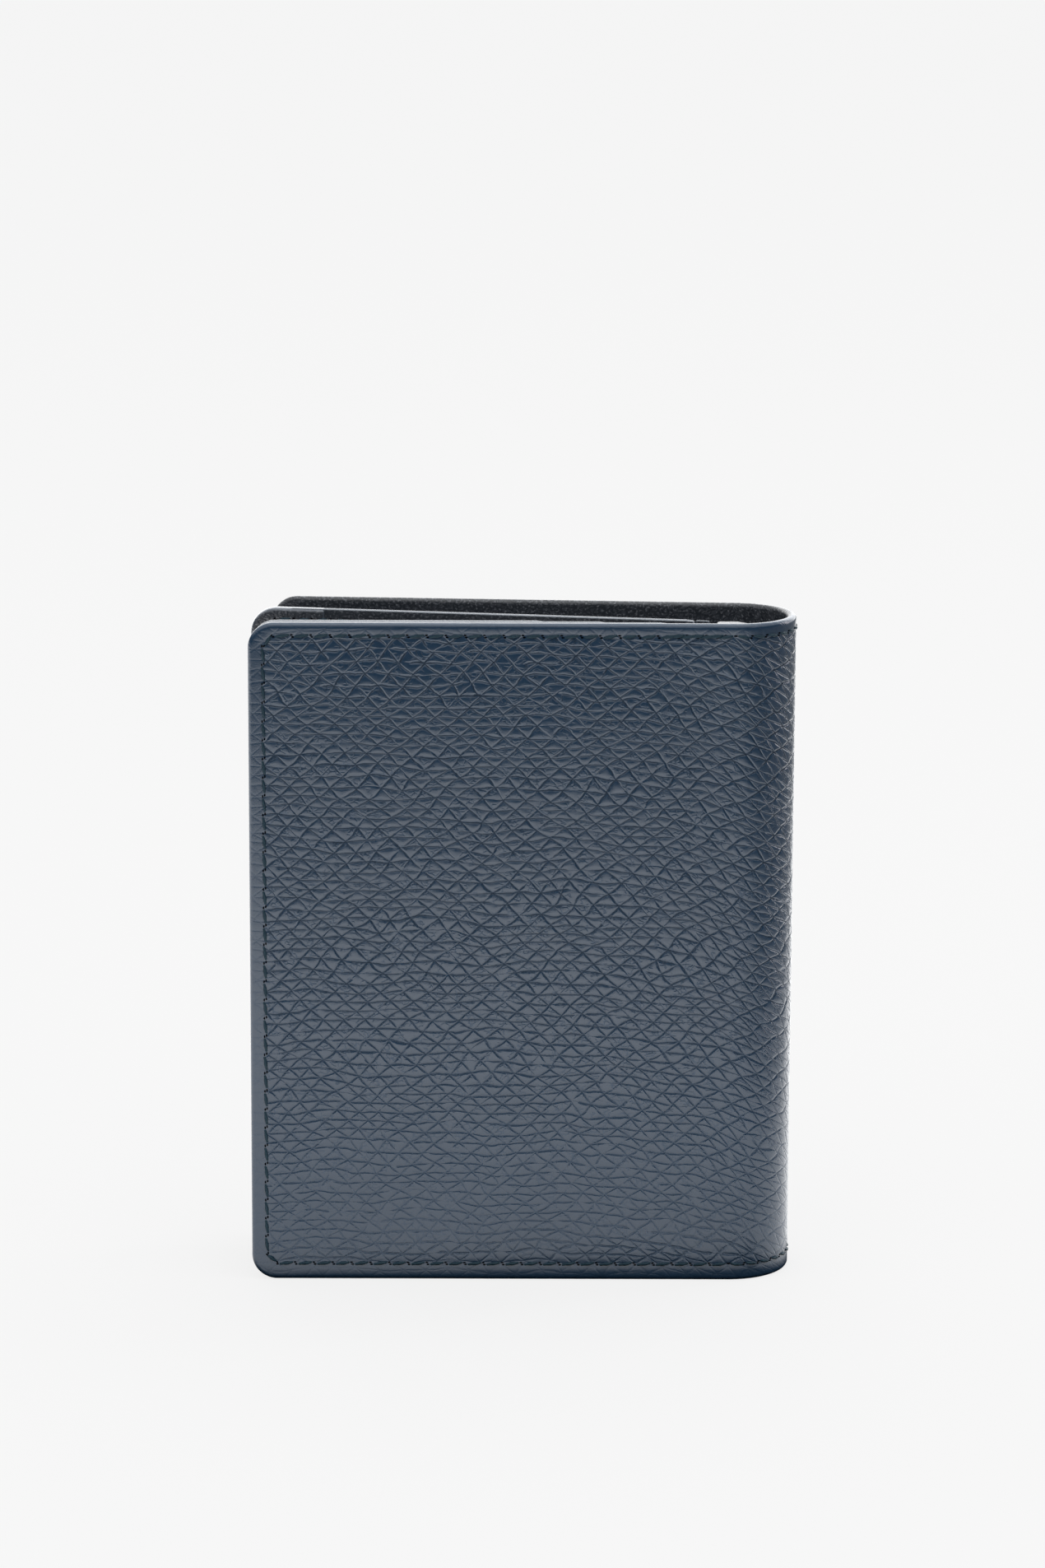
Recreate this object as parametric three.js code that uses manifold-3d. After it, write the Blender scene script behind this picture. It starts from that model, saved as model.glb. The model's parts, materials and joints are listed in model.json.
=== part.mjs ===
// A small upright card holder: two leather covers joined by a round spine, with a hinged leaf
// between them. Millimetres, +Z up. X runs from the free edges to the spine, Y from the front
// cover to the back cover.
//
// The spine is a chain of flat strips. Every body of the chain is a plain extrusion in one and
// the same plan: s runs along the leather from the back cover to the front cover, and depth runs
// inwards from its outer face. station() then turns that plan about the spine's centre line.

import * as THREE from 'three';
import { mergeVertices } from 'three/addons/utils/BufferGeometryUtils.js';
import Module from 'manifold-3d';

const wasm = await Module();
wasm.setup();

// ---- driving dimensions ------------------------------------------------------------------

const HEIGHT = 110;
const FRONT_REACH = 78.5; // from the spine's centre to the front cover's free edge
const BACK_REACH = 76.4;
const CORNER_RADIUS = 4.2;

const SPINE_RADIUS = 10.2; // to the leather's outer face
const FOLD_COUNT = 4;
const FOLD_ANGLE = 44; // degrees taken up at each fold as the holder stands, nearly closed
const CLOSED_FOLD_ANGLE = 45;
const FOLD_DEPTH = 0.7; // of each fold's axis below the outer face

const LEATHER = 1.1;
const TURNED_EDGE = 0.7; // skived leather turned over the panel's rim
const TURNED_WIDTH = 6;
const BOARD = 0.4;
const PLY_GAP = 0.15; // between plies that lie on each other
const FOLD_GAP = 0.3; // between pieces on either side of a fold
const OVERLAP = 0.2; // of two solids before they are joined into one
const SMALL_RADIUS = 1;
const PAST = 1; // how far a cutting solid runs past what it cuts

const INNER_PANEL = 0.6;
const FRONT_POCKET = 0.6;
const BACK_POCKET = 0.5;
const BACK_LINING = 0.35;
const BILL_SPACE = 0.45;
const SPINE_LINING = 0.5;
const INNER_PANEL_END = 81; // from the free edge
const INNER_EDGE_MARGIN = 0.6;
const INNER_TOP_DROP = 0.3; // the front's inner plies end this far below the cover's top edge
const INNER_BOTTOM_LIFT = 0.8;
const BILL_PANEL_DROP = 4; // the bill compartment is open at the top
const POCKET_COUNT = 3;
const FIRST_MOUTH = 68; // of the pocket nearest the spine, from the free edge
const MOUTH_STEP = 10;

const SEAM_TOP = 2.1;
const SEAM_SIDE = 2.5;
const SEAM_BOTTOM = 2.8;
const SEAM_CORNER = 1.6; // leg of the stitch line's short diagonal at each corner
const GROOVE_WIDTH = 0.9;
const GROOVE_DEPTH = 0.5;
const THREAD_WIDTH = 0.6;
const THREAD_DEPTH = 0.35;

const LEAF_ANGLE = 9; // from the front cover
const LEAF_AXIS_REACH = 74.7; // from the front cover's free edge
const LEAF_AXIS_DEPTH = 4.9;
const LEAF_LENGTH = 73.6;
const LEAF_CORNER_RADIUS = 5;
const LEAF_PANEL = 0.5;
const LEAF_TOP_DROP = 0.3;
const LEAF_BOTTOM_LIFT = 1.5;
const LEAF_START = 2.7; // of the stiff panels, from the leaf's axis
const LEAF_PLY_RADIUS = 3;
const BINDING_FOLD = 2.5; // solid leather at the folded binding's outer end
const BINDING_WIDTH = 10.3;
const BINDING_FRONT = 1; // the folded binding's faces, from the leaf's middle plane
const BINDING_REAR = 1.5;
const HINGE_STRIP = 0.4;

const TAB_START = 0.9; // from the leaf's axis, towards the spine
const TAB_WIDTH = 5.6;
const TAB_DEPTH = 7.2; // of its inner face below the cover's outer face
const TAB_TAPER = 2;
const TAB_ROUND = 0.5;

const GRAINED_LEATHER = { color: 0x24384c, roughness: 0.55, metalness: 0 };
const SMOOTH_LEATHER = { color: 0x2b3d50, roughness: 0.5, metalness: 0 };
const LINING_CLOTH = { color: 0x1b222b, roughness: 0.85, metalness: 0 };
const FIBRE_BOARD = { color: 0x8d8272, roughness: 0.9, metalness: 0 };
const SEWING_THREAD = { color: 0x123040, roughness: 0.7, metalness: 0 };

// ---- worked-out sizes ----------------------------------------------------------------------

const radians = THREE.MathUtils.degToRad;
const halfFold = radians(FOLD_ANGLE / 2);
const foldSlope = Math.tan(radians(CLOSED_FOLD_ANGLE / 2));
const foldRadius = (SPINE_RADIUS - FOLD_DEPTH) / Math.cos(halfFold);
const halfStrip = foldRadius * Math.sin(halfFold);
const rimDepth = LEATHER + TURNED_EDGE;
const innerDepth = rimDepth + PLY_GAP;

// ---- solids ----------------------------------------------------------------------------------

function solidOf(geometry) {
  const bare = geometry.index ? geometry.toNonIndexed() : geometry.clone();
  bare.deleteAttribute('normal');
  bare.deleteAttribute('uv');
  const merged = mergeVertices(bare, 1e-4);
  const mesh = new wasm.Mesh({
    numProp: 3,
    vertProperties: merged.attributes.position.array,
    triVerts: new Uint32Array(merged.index.array),
  });
  return new wasm.Manifold(mesh);
}

function geometryOf(solid) {
  const mesh = solid.getMesh();
  const geometry = new THREE.BufferGeometry();
  geometry.setAttribute('position', new THREE.BufferAttribute(mesh.vertProperties, 3));
  geometry.setIndex(new THREE.BufferAttribute(mesh.triVerts, 1));
  geometry.computeVertexNormals();
  return geometry;
}

// An outline in s and z, made solid between two depths below the leather's outer face.
function plate(outline, depthFrom, depthTo) {
  const geometry = new THREE.ExtrudeGeometry(outline, {
    depth: depthTo - depthFrom,
    bevelEnabled: false,
    curveSegments: 6,
  });
  geometry.rotateX(Math.PI / 2);
  geometry.translate(0, SPINE_RADIUS - depthFrom, 0);
  return geometry;
}

// An outline in s and depth, made solid over the whole height.
function upright(points, bottom, top) {
  const outline = new THREE.Shape(points.map(([s, depth]) => new THREE.Vector2(s, SPINE_RADIUS - depth)));
  const geometry = new THREE.ExtrudeGeometry(outline, { depth: top - bottom, bevelEnabled: false });
  geometry.translate(0, 0, bottom);
  return geometry;
}

// A panel whose two corners at s = outer are round.
function panelOutline(inner, outer, bottom, top, radius) {
  const outward = Math.sign(outer - inner);
  const centre = outer - outward * radius;
  const clockwise = outward < 0;
  const middle = outward > 0 ? 0 : Math.PI;
  const lower = -Math.PI / 2;
  const upper = outward > 0 ? Math.PI / 2 : -1.5 * Math.PI;
  const shape = new THREE.Shape();
  shape.moveTo(inner, bottom);
  shape.lineTo(centre, bottom);
  shape.absarc(centre, bottom + radius, radius, lower, clockwise ? -middle : middle, clockwise);
  shape.lineTo(outer, top - radius);
  shape.absarc(centre, top - radius, radius, clockwise ? -middle : middle, upper, clockwise);
  shape.lineTo(inner, top);
  shape.closePath();
  return shape;
}

// A band of the given width along the stitch line: top edge, free edge and bottom edge.
function seamBand(inner, outer, width) {
  const outward = Math.sign(outer - inner);
  const half = width / 2;
  const line = (offset) => {
    const side = outer - outward * (SEAM_SIDE + offset);
    const top = HEIGHT - SEAM_TOP - offset;
    const bottom = SEAM_BOTTOM + offset;
    const leg = SEAM_CORNER - offset * (2 - Math.SQRT2);
    return [
      [inner, bottom],
      [side - outward * leg, bottom],
      [side, bottom + leg],
      [side, top - leg],
      [side - outward * leg, top],
      [inner, top],
    ];
  };
  const points = [...line(-half), ...line(half).reverse()];
  return new THREE.Shape(points.map(([s, z]) => new THREE.Vector2(s, z)));
}

// ---- the assembly's tree -----------------------------------------------------------------------

function station(angle) {
  const group = new THREE.Group();
  group.rotation.z = -radians(angle);
  return group;
}

function addPiece(group, name, geometry, look) {
  const mesh = new THREE.Mesh(geometry, new THREE.MeshStandardMaterial(look));
  mesh.name = name;
  group.add(mesh);
}

// ---- covers ------------------------------------------------------------------------------------

// The outer leather: a panel with its edges turned over inwards on three sides, a shallow groove
// for the stitches, and an inner end that is cut back so that the fold beside it can close.
function coverLeather(free, fold) {
  const outward = Math.sign(free - fold);
  const inner = fold + (outward * FOLD_GAP) / 2;
  const rimInner = fold + outward * (FOLD_GAP + rimDepth);
  const panel = solidOf(plate(panelOutline(inner, free, 0, HEIGHT, CORNER_RADIUS), 0, LEATHER));
  const rimOutline = panelOutline(rimInner, free, 0, HEIGHT, CORNER_RADIUS);
  const rimPlate = solidOf(plate(rimOutline, LEATHER - OVERLAP, rimDepth));
  const window = panelOutline(
    fold - outward * PAST,
    free - outward * TURNED_WIDTH,
    TURNED_WIDTH,
    HEIGHT - TURNED_WIDTH,
    SMALL_RADIUS,
  );
  const rim = rimPlate.subtract(solidOf(plate(window, LEATHER - 2 * OVERLAP, rimDepth + PAST)));
  const grooveBand = seamBand(fold - outward * PAST, free, GROOVE_WIDTH);
  const groove = solidOf(plate(grooveBand, -PAST, GROOVE_DEPTH));
  return geometryOf(panel.add(rim).subtract(groove).subtract(foldCut(fold, outward)));
}

// What has to go below a fold's axis so that two pieces can meet there at the closed angle.
function foldCut(fold, outward) {
  const reach = rimDepth + PAST;
  const edge = fold + (outward * FOLD_GAP) / 2;
  const points = [
    [edge, FOLD_DEPTH],
    [edge + outward * reach * foldSlope, FOLD_DEPTH + reach],
    [edge - outward * reach, FOLD_DEPTH + reach],
    [edge - outward * reach, FOLD_DEPTH],
  ];
  return solidOf(upright(points, -PAST, HEIGHT + PAST));
}

function coverBoard(free, fold) {
  const outward = Math.sign(free - fold);
  const inset = TURNED_WIDTH + FOLD_GAP;
  const outline = panelOutline(
    fold + outward * inset,
    free - outward * inset,
    inset,
    HEIGHT - inset,
    SMALL_RADIUS,
  );
  return plate(outline, LEATHER + PLY_GAP, LEATHER + PLY_GAP + BOARD);
}

function seamThread(free, fold) {
  const outward = Math.sign(free - fold);
  const band = seamBand(fold + outward * FOLD_GAP, free, THREAD_WIDTH);
  return plate(band, GROOVE_DEPTH - PLY_GAP - THREAD_DEPTH, GROOVE_DEPTH - PLY_GAP);
}

// An inner ply that runs from near the free edge to a straight end facing the spine.
function innerPly(free, outward, end, bottom, top, depth, thickness) {
  const outline = panelOutline(
    free - outward * end,
    free - outward * INNER_EDGE_MARGIN,
    bottom,
    top,
    CORNER_RADIUS - INNER_EDGE_MARGIN,
  );
  return plate(outline, depth, depth + thickness);
}

function addPockets(group, prefix, free, outward, bottom, top, depth, thickness) {
  for (let i = 0; i < POCKET_COUNT; i++) {
    const mouth = FIRST_MOUTH - i * MOUTH_STEP;
    const pocketDepth = depth + i * (thickness + PLY_GAP);
    const ply = innerPly(free, outward, mouth, bottom, top, pocketDepth, thickness);
    addPiece(group, `${prefix}_card_pocket_${i + 1}`, ply, SMOOTH_LEATHER);
  }
}

// ---- front cover with the leaf -------------------------------------------------------------------

function hingeTab(free) {
  const start = free - LEAF_AXIS_REACH - TAB_START;
  const end = start - TAB_WIDTH;
  const floor = innerDepth + INNER_PANEL + PLY_GAP;
  return upright(
    [
      [start, floor],
      [start, TAB_DEPTH - TAB_ROUND],
      [start - TAB_ROUND, TAB_DEPTH],
      [end + TAB_TAPER, TAB_DEPTH],
      [end, TAB_DEPTH - TAB_TAPER],
      [end, floor],
    ],
    INNER_BOTTOM_LIFT,
    HEIGHT - INNER_TOP_DROP,
  );
}

// In the leaf's own plan, s starts at its axis and depth at its middle plane.
function leafPly(from, to, radius, depth, thickness) {
  const outline = panelOutline(from, to, LEAF_BOTTOM_LIFT, HEIGHT - LEAF_TOP_DROP, radius);
  const geometry = plate(outline, depth, depth + thickness);
  geometry.translate(0, -SPINE_RADIUS, 0);
  return geometry;
}

// A leather strip folded round the leaf's free end, with the two panels between its sides.
function leafBinding() {
  const from = LEAF_LENGTH - BINDING_WIDTH;
  const thickness = BINDING_FRONT + BINDING_REAR;
  const body = leafPly(from, LEAF_LENGTH, LEAF_CORNER_RADIUS, -BINDING_FRONT, thickness);
  const slotHalf = LEAF_PANEL + 1.5 * PLY_GAP;
  const slotEnd = LEAF_LENGTH - BINDING_FOLD;
  const corners = [
    [from - PAST, -slotHalf],
    [slotEnd, -slotHalf],
    [slotEnd, slotHalf],
    [from - PAST, slotHalf],
  ];
  const slot = upright(corners, 0, HEIGHT);
  slot.translate(0, -SPINE_RADIUS, 0);
  return geometryOf(solidOf(body).subtract(solidOf(slot)));
}

function leafHingeStrip() {
  const start = FOLD_GAP;
  const end = LEAF_START - PLY_GAP;
  const geometry = new THREE.BoxGeometry(
    end - start,
    HINGE_STRIP,
    HEIGHT - LEAF_TOP_DROP - LEAF_BOTTOM_LIFT,
  );
  geometry.translate((start + end) / 2, 0, (HEIGHT - LEAF_TOP_DROP + LEAF_BOTTOM_LIFT) / 2);
  return geometry;
}

function makeLeaf() {
  const leaf = new THREE.Group();
  leaf.position.set(FRONT_REACH - LEAF_AXIS_REACH, SPINE_RADIUS - LEAF_AXIS_DEPTH, 0);
  leaf.rotation.z = -radians(LEAF_ANGLE);
  const panelEnd = LEAF_LENGTH - BINDING_FOLD - FOLD_GAP;
  addPiece(leaf, 'leaf_hinge_strip', leafHingeStrip(), SMOOTH_LEATHER);
  addPiece(
    leaf,
    'leaf_front_panel',
    leafPly(LEAF_START, panelEnd, LEAF_PLY_RADIUS, -LEAF_PANEL - PLY_GAP / 2, LEAF_PANEL),
    SMOOTH_LEATHER,
  );
  addPiece(
    leaf,
    'leaf_rear_panel',
    leafPly(LEAF_START, panelEnd, LEAF_PLY_RADIUS, PLY_GAP / 2, LEAF_PANEL),
    SMOOTH_LEATHER,
  );
  addPiece(leaf, 'leaf_end_binding', leafBinding(), SMOOTH_LEATHER);
  return leaf;
}

function makeFrontCover() {
  const cover = station(FOLD_COUNT * FOLD_ANGLE);
  const top = HEIGHT - INNER_TOP_DROP;
  const panelDepth = innerDepth;
  const pocketDepth = panelDepth + INNER_PANEL + PLY_GAP;
  addPiece(cover, 'front_leather', coverLeather(FRONT_REACH, -halfStrip), GRAINED_LEATHER);
  addPiece(cover, 'front_board', coverBoard(FRONT_REACH, -halfStrip), FIBRE_BOARD);
  addPiece(cover, 'front_seam_thread', seamThread(FRONT_REACH, -halfStrip), SEWING_THREAD);
  addPiece(
    cover,
    'front_inner_panel',
    innerPly(FRONT_REACH, 1, INNER_PANEL_END, INNER_BOTTOM_LIFT, top, panelDepth, INNER_PANEL),
    SMOOTH_LEATHER,
  );
  addPockets(cover, 'front', FRONT_REACH, 1, INNER_BOTTOM_LIFT, top, pocketDepth, FRONT_POCKET);
  addPiece(cover, 'leaf_hinge_tab', hingeTab(FRONT_REACH), SMOOTH_LEATHER);
  cover.add(makeLeaf());
  return cover;
}

// ---- back cover --------------------------------------------------------------------------------

function makeBackCover() {
  const cover = station(0);
  const panelEnd = INNER_PANEL_END - FRONT_REACH + BACK_REACH;
  const billDepth = innerDepth + BACK_LINING + BILL_SPACE;
  const pocketDepth = billDepth + INNER_PANEL + PLY_GAP;
  const billTop = HEIGHT - BILL_PANEL_DROP;
  const liningTop = HEIGHT - TURNED_WIDTH - FOLD_GAP;
  addPiece(cover, 'back_leather', coverLeather(-BACK_REACH, halfStrip), GRAINED_LEATHER);
  addPiece(cover, 'back_board', coverBoard(-BACK_REACH, halfStrip), FIBRE_BOARD);
  addPiece(cover, 'back_seam_thread', seamThread(-BACK_REACH, halfStrip), SEWING_THREAD);
  addPiece(
    cover,
    'back_lining',
    innerPly(-BACK_REACH, -1, panelEnd, INNER_BOTTOM_LIFT, liningTop, innerDepth, BACK_LINING),
    LINING_CLOTH,
  );
  addPiece(
    cover,
    'bill_panel',
    innerPly(-BACK_REACH, -1, panelEnd, INNER_BOTTOM_LIFT, billTop, billDepth, INNER_PANEL),
    SMOOTH_LEATHER,
  );
  addPockets(cover, 'back', -BACK_REACH, -1, INNER_BOTTOM_LIFT, billTop, pocketDepth, BACK_POCKET);
  return cover;
}

// ---- spine -------------------------------------------------------------------------------------

// A strip of the spine between two depths. Below the folds' axes its sides are cut back, so that
// neighbouring strips can close.
function spinePly(depthFrom, depthTo, bottom, top) {
  const end = halfStrip - FOLD_GAP / 2;
  const cutBack = (depth) => end - Math.max(0, depth - FOLD_DEPTH) * foldSlope;
  const points = [[-cutBack(depthFrom), depthFrom]];
  if (depthFrom < FOLD_DEPTH) {
    points.push([-end, FOLD_DEPTH]);
  }
  points.push([-cutBack(depthTo), depthTo], [cutBack(depthTo), depthTo]);
  if (depthFrom < FOLD_DEPTH) {
    points.push([end, FOLD_DEPTH]);
  }
  points.push([cutBack(depthFrom), depthFrom]);
  return upright(points, bottom, top);
}

function spineLeather() {
  const strip = solidOf(spinePly(0, LEATHER, 0, HEIGHT));
  const lowerEdge = solidOf(spinePly(LEATHER - OVERLAP, rimDepth, 0, TURNED_WIDTH));
  const upperEdge = solidOf(spinePly(LEATHER - OVERLAP, rimDepth, HEIGHT - TURNED_WIDTH, HEIGHT));
  return geometryOf(strip.add(lowerEdge).add(upperEdge));
}

function makeSpineStrip(place, angle) {
  const strip = station(angle);
  const liningDepth = LEATHER + PLY_GAP;
  const liningEnd = TURNED_WIDTH + FOLD_GAP;
  const lining = spinePly(liningDepth, liningDepth + SPINE_LINING, liningEnd, HEIGHT - liningEnd);
  addPiece(strip, `spine_${place}_leather`, spineLeather(), GRAINED_LEATHER);
  addPiece(strip, `spine_${place}_lining`, lining, SMOOTH_LEATHER);
  return strip;
}

// ---- the whole object -----------------------------------------------------------------------------

const holder = new THREE.Group();
holder.add(makeBackCover());
['rear', 'middle', 'front'].forEach((place, i) => {
  holder.add(makeSpineStrip(place, (i + 1) * FOLD_ANGLE));
});
holder.add(makeFrontCover());

// The origin is the middle of the footprint.
const footprint = new THREE.Box3().setFromObject(holder, true).getCenter(new THREE.Vector3());
holder.position.set(-footprint.x, -footprint.y, 0);

export default holder;
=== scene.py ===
import json
import math

import bmesh
import bpy
import numpy as np
from mathutils import Matrix, Vector, noise


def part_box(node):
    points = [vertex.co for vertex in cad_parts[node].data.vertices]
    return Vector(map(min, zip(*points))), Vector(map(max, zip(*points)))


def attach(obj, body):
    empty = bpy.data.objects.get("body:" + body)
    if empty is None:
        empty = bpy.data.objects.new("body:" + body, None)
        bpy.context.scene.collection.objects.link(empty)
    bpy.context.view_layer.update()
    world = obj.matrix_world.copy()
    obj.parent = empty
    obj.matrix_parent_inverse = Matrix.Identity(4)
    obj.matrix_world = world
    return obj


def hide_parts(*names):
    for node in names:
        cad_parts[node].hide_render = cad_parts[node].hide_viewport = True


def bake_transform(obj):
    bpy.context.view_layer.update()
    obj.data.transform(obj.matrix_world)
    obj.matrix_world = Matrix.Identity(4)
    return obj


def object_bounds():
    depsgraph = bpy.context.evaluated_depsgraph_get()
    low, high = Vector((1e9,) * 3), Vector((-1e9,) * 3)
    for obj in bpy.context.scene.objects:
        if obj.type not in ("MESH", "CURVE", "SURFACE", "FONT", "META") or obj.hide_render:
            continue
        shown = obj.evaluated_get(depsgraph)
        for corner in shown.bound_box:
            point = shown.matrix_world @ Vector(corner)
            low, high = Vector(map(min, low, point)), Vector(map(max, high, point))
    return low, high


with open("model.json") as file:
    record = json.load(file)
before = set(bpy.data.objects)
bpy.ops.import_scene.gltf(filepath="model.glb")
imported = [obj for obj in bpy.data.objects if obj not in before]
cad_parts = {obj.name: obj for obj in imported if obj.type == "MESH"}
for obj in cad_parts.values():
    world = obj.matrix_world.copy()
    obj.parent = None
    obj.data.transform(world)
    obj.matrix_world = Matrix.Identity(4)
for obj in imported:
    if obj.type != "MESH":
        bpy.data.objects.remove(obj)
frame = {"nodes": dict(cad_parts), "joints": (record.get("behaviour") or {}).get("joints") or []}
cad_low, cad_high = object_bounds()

# Lengths are in millimetres until a mesh is made.
MM = 0.001
UP = np.array([0.0, 0.0, 1.0])

# ---- plan of the holder -------------------------------------------------------------------------
# The outer leather is one sheet. u runs along its outer face: below 0 on the back cover, then
# round the spine, and on to the front cover. Depth runs inwards from the outer face. On a cover, w
# is the distance from the free edge.

FOLD_TURN = math.radians(44)
FOLD_COUNT = 4
LEAF_TURN = math.radians(9)
RIM = 0.75               # radius of the leather's turned edge
LEATHER = 1.1
HEM_WIDTH = 6.5
CORNER = 4.2
GRAIN_STEP = 0.34        # mesh size on the grained leather

SEAM_TOP = 2.1
SEAM_SIDE = 2.5
SEAM_BOTTOM = 2.8
SEAM_CORNER = 1.6
PITCH = 3.1
SPINE_STITCHES = 3       # on each quarter of the spine
PINCH = 0.06             # how far the thread draws the leather in
PINCH_WIDTH = 0.55

FOLDS = ["cover_fold", "rear_spine_fold", "front_spine_fold", "front_cover_fold"]
joint_at = {joint["name"]: np.array(joint["pos_m"]) / MM for joint in frame["joints"]}


def across(angle):
    return np.array([math.sin(angle), math.cos(angle), 0.0])


def along(angle):
    return np.array([math.cos(angle), -math.sin(angle), 0.0])


def points_of(node):
    return np.array([v.co for v in frame["nodes"][node].data.vertices]) / MM


first, second = joint_at[FOLDS[0]], joint_at[FOLDS[1]]
fold_radius = np.linalg.norm((second - first)[:2]) / (2 * math.sin(FOLD_TURN / 2))
centre = first - fold_radius * across(FOLD_TURN / 2)
centre[2] = 0.0
TURN = FOLD_COUNT * FOLD_TURN
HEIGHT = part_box("front_leather")[1].z / MM
OUTER = ((points_of("back_leather") - centre) @ across(0)).max()
SPINE_END = OUTER * TURN
FRONT_REACH = ((points_of("front_leather") - centre) @ along(TURN)).max()
BACK_REACH = -((points_of("back_leather") - centre) @ along(0)).min()


def bent(u, depth, z):
    """Points of the outer leather's plan, round the spine."""
    u, depth, z = np.broadcast_arrays(u, depth, z)
    angle = np.clip(u / OUTER, 0, TURN)
    past = u - angle * OUTER
    out = np.stack([np.sin(angle), np.cos(angle), 0 * angle], -1)
    way = np.stack([np.cos(angle), -np.sin(angle), 0 * angle], -1)
    return centre + out * (OUTER - depth)[..., None] + way * past[..., None] + z[..., None] * UP


class Cover:
    """The outer leather of a cover, where reach is w at the start of the spine."""

    def __init__(self, side, reach, free_u, way, angle):
        self.side = side
        self.reach = reach
        self.free_u = free_u               # u of the free edge
        self.way = way                     # 1 where u grows with w, and -1 where it falls
        self.out = across(angle)
        self.away = -way * along(angle)    # out over the free edge

    def u_of(self, w):
        return self.free_u + self.way * w

    def place(self, w, depth, z):
        return bent(self.u_of(w), depth, z)


class Stack:
    """A flat stack of plies. s runs along it from its origin, and depth runs inwards."""

    def __init__(self, origin, angle, body):
        self.origin = origin
        self.way = along(angle)
        self.out = across(angle)
        self.body = body

    def place(self, s, depth, z):
        s, depth, z = np.broadcast_arrays(s, depth, z)
        flat = self.way * s[..., None] - self.out * depth[..., None]
        return self.origin + flat + z[..., None] * UP

    def range_of(self, node):
        """Lowest and highest s, depth and z of a CAD node."""
        local = points_of(node) - self.origin
        s, depth, z = local @ self.way, -(local @ self.out), local[:, 2]
        return [(float(v.min()), float(v.max())) for v in (s, depth, z)]


FRONT_COVER = Cover("front", FRONT_REACH, SPINE_END + FRONT_REACH, -1, TURN)
BACK_COVER = Cover("back", BACK_REACH, -BACK_REACH, 1, 0.0)
FRONT = Stack(centre + across(TURN) * OUTER, TURN, "front_cover")
BACK = Stack(centre + across(0.0) * OUTER, 0.0, "back_cover")
LEAF = Stack(joint_at["leaf_turn"] * (1, 1, 0), TURN + LEAF_TURN, "leaf")


# ---- node graphs --------------------------------------------------------------------------------

class Graph:
    """Adds nodes to a shader or geometry tree. Inputs are numbers, vectors or sockets."""

    def __init__(self, tree):
        self.tree = tree

    def add(self, kind, inputs=(), **settings):
        node = self.tree.nodes.new(kind)
        for name, value in settings.items():
            setattr(node, name, value)
        for key, value in dict(inputs).items():
            if isinstance(value, bpy.types.NodeSocket):
                self.tree.links.new(value, node.inputs[key])
            else:
                node.inputs[key].default_value = value
        return node

    def math(self, operation, *values):
        node = self.add("ShaderNodeMath", dict(enumerate(values)), operation=operation)
        return node.outputs[0]

    def product(self, *values):
        found = values[0]
        for value in values[1:]:
            found = self.math("MULTIPLY", found, value)
        return found

    def line(self, value, slope, start):
        """value * slope + start."""
        return self.math("MULTIPLY_ADD", value, slope, start)

    def vector(self, operation, *values):
        node = self.add("ShaderNodeVectorMath", dict(enumerate(values)), operation=operation)
        return node.outputs[0]

    def split(self, vector):
        return self.add("ShaderNodeSeparateXYZ", {0: vector}).outputs

    def noise(self, at, size, detail=1.0, roughness=0.5):
        """Smooth noise from -1 to 1 with features of about this size."""
        inputs = {"Vector": at, "Scale": 1 / size, "Detail": detail, "Roughness": roughness}
        value = self.add("ShaderNodeTexNoise", inputs).outputs[0]
        return self.line(value, 2.0, -1.0)

    def shade(self, noise):
        """Noise from -1 to 1, moved to 0 to 1."""
        return self.line(noise, 0.5, 0.5)

    def cells(self, at, size):
        """Distance to the nearest edge of random cells of about this size."""
        inputs = {"Vector": at, "Scale": 1 / size, "Randomness": 1.0}
        node = self.add("ShaderNodeTexVoronoi", inputs, feature="DISTANCE_TO_EDGE")
        return self.math("MULTIPLY", node.outputs["Distance"], size)

    def ramp(self, value, low, high, start=0.0, end=1.0):
        inputs = {"Value": value, "From Min": low, "From Max": high, "To Min": start, "To Max": end}
        return self.add("ShaderNodeMapRange", inputs, interpolation_type="SMOOTHSTEP").outputs[0]

    def smallest(self, values, rounding):
        found = values[0]
        for value in values[1:]:
            found = self.math("SMOOTH_MIN", found, value, rounding)
        return found

    def colour(self, factor, a, b):
        return self.add("ShaderNodeMix", {0: factor, 6: a, 7: b}, data_type="RGBA").outputs[2]


# ---- grain --------------------------------------------------------------------------------------

# Families of creases: slope, spacing, where their noise is read, and how much they fade. They
# cross at shared points and leave three-cornered cells.
CREASES = [(0.0, 1.7, 11.0, 0.2), (0.92, 3.4, 37.0, 0.15), (-0.92, 3.4, 71.0, 0.15)]
WIDER_THAN_TALL = (0.7, 1.0, 1.0)
SHARED_DRIFT = 1.5       # how far all families stray together, and over what lengths
SHARED_SIZE_Y = 9.0
SHARED_SIZE_X = 7.0
X_NOISE_PLACE = (90.0, 0.0, 0.0)
OWN_DRIFT = 0.85         # how far each strays by itself
OWN_SIZE = 4.2
FADING_SIZE = 2.0
FADING_NOISE = (-0.55, -0.1)
CREASE_ROUNDING = 0.05
RAGGED = 0.045
RAGGED_SIZE = 0.45

FINE_SIZE = 0.85
FINE_WIDER = (0.8, 1.0, 1.0)
FINE_BEND = 0.5
FINE_BEND_SIZE = 0.9
FINE_FADING = 0.2
FINE_FADING_SIZE = 1.7
FINE_FADING_NOISE = (-0.2, 0.15)

RELIEF = 0.06            # depth of a crease in the mesh
FINE_RELIEF = 0.015
RELIEF_WIDTH = 0.4


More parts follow.
